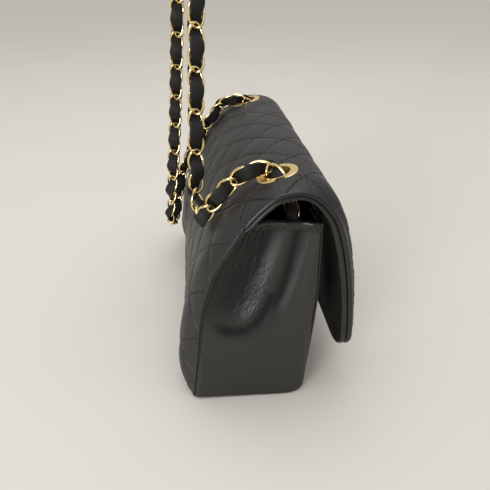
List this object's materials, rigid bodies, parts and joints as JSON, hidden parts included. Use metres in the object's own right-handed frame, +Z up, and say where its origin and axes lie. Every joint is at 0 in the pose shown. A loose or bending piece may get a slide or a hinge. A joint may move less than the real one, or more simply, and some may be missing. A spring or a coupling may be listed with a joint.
{
  "type": "chain shoulder bag",
  "caption": "Small quilted flap shoulder bag that stands on its base, with a turn lock under the flap and a woven chain strap through two crown eyelets.",
  "frame": {"origin": "middle of the flat base, on the surface that the bag stands on", "axes": "+Z up, +Y towards the back of the bag, X along its width"},
  "size_m": [0.2034, 0.1088, 0.2429],
  "materials": {
    "quilted_leather": "soft satin, diamond quilted",
    "plain_leather": "soft satin",
    "lining": "smooth",
    "stiffener": "felted",
    "lace": "flat lace",
    "pale_gold": "polished"
  },
  "bodies": {
    "bag_body": {"back_panel": "quilted_leather", "front_panel": "quilted_leather", "base_panel": "plain_leather", "base_board": "stiffener", "body_lining": "lining", "inner_pocket": "lining", "left_gusset": "plain_leather", "left_gusset_hem": "plain_leather", "left_seam_welt": "plain_leather", "left_eyelet": "pale_gold", "left_eyelet_washer": "pale_gold", "left_anchor_ring": "pale_gold", "left_anchor_tab": "plain_leather", "left_drop_links": "pale_gold", "left_drop_lace": "lace", "right_gusset": "plain_leather", "right_gusset_hem": "plain_leather", "right_seam_welt": "plain_leather", "right_eyelet": "pale_gold", "right_eyelet_washer": "pale_gold", "right_anchor_ring": "pale_gold", "right_anchor_tab": "plain_leather", "right_drop_links": "pale_gold", "right_drop_lace": "lace", "lock_base": "pale_gold", "lock_washer": "pale_gold"},
    "flap": {"flap_cover": "quilted_leather", "flap_interlining": "stiffener", "flap_welt": "plain_leather", "flap_lining": "lining", "flap_lock_plate": "pale_gold", "flap_lock_backplate": "pale_gold", "flap_lock_rivets": "pale_gold"},
    "lock_knob": {"lock_knob": "pale_gold"},
    "strap_loop": {"loop_links": "pale_gold", "loop_lace": "lace"}
  },
  "joints": [
    {"name": "flap_fold", "type": "hinge", "parent": "bag_body", "child": "flap", "pos_m": [0, -0.0295, 0.1216], "axis": [-1, 0, 0], "range_deg": [0, 135]},
    {"name": "lock_turn", "type": "hinge", "parent": "bag_body", "child": "lock_knob", "pos_m": [0, -0.05, 0.047], "axis": [0, 1, 0], "range_deg": [0, 90]},
    {"name": "strap_swing", "type": "hinge", "parent": "bag_body", "child": "strap_loop", "pos_m": [-0.07006, 0.0207, 0.09234], "axis": [-0.8908, -0.1628, 0.4242], "range_deg": [0, 50]}
  ]
}
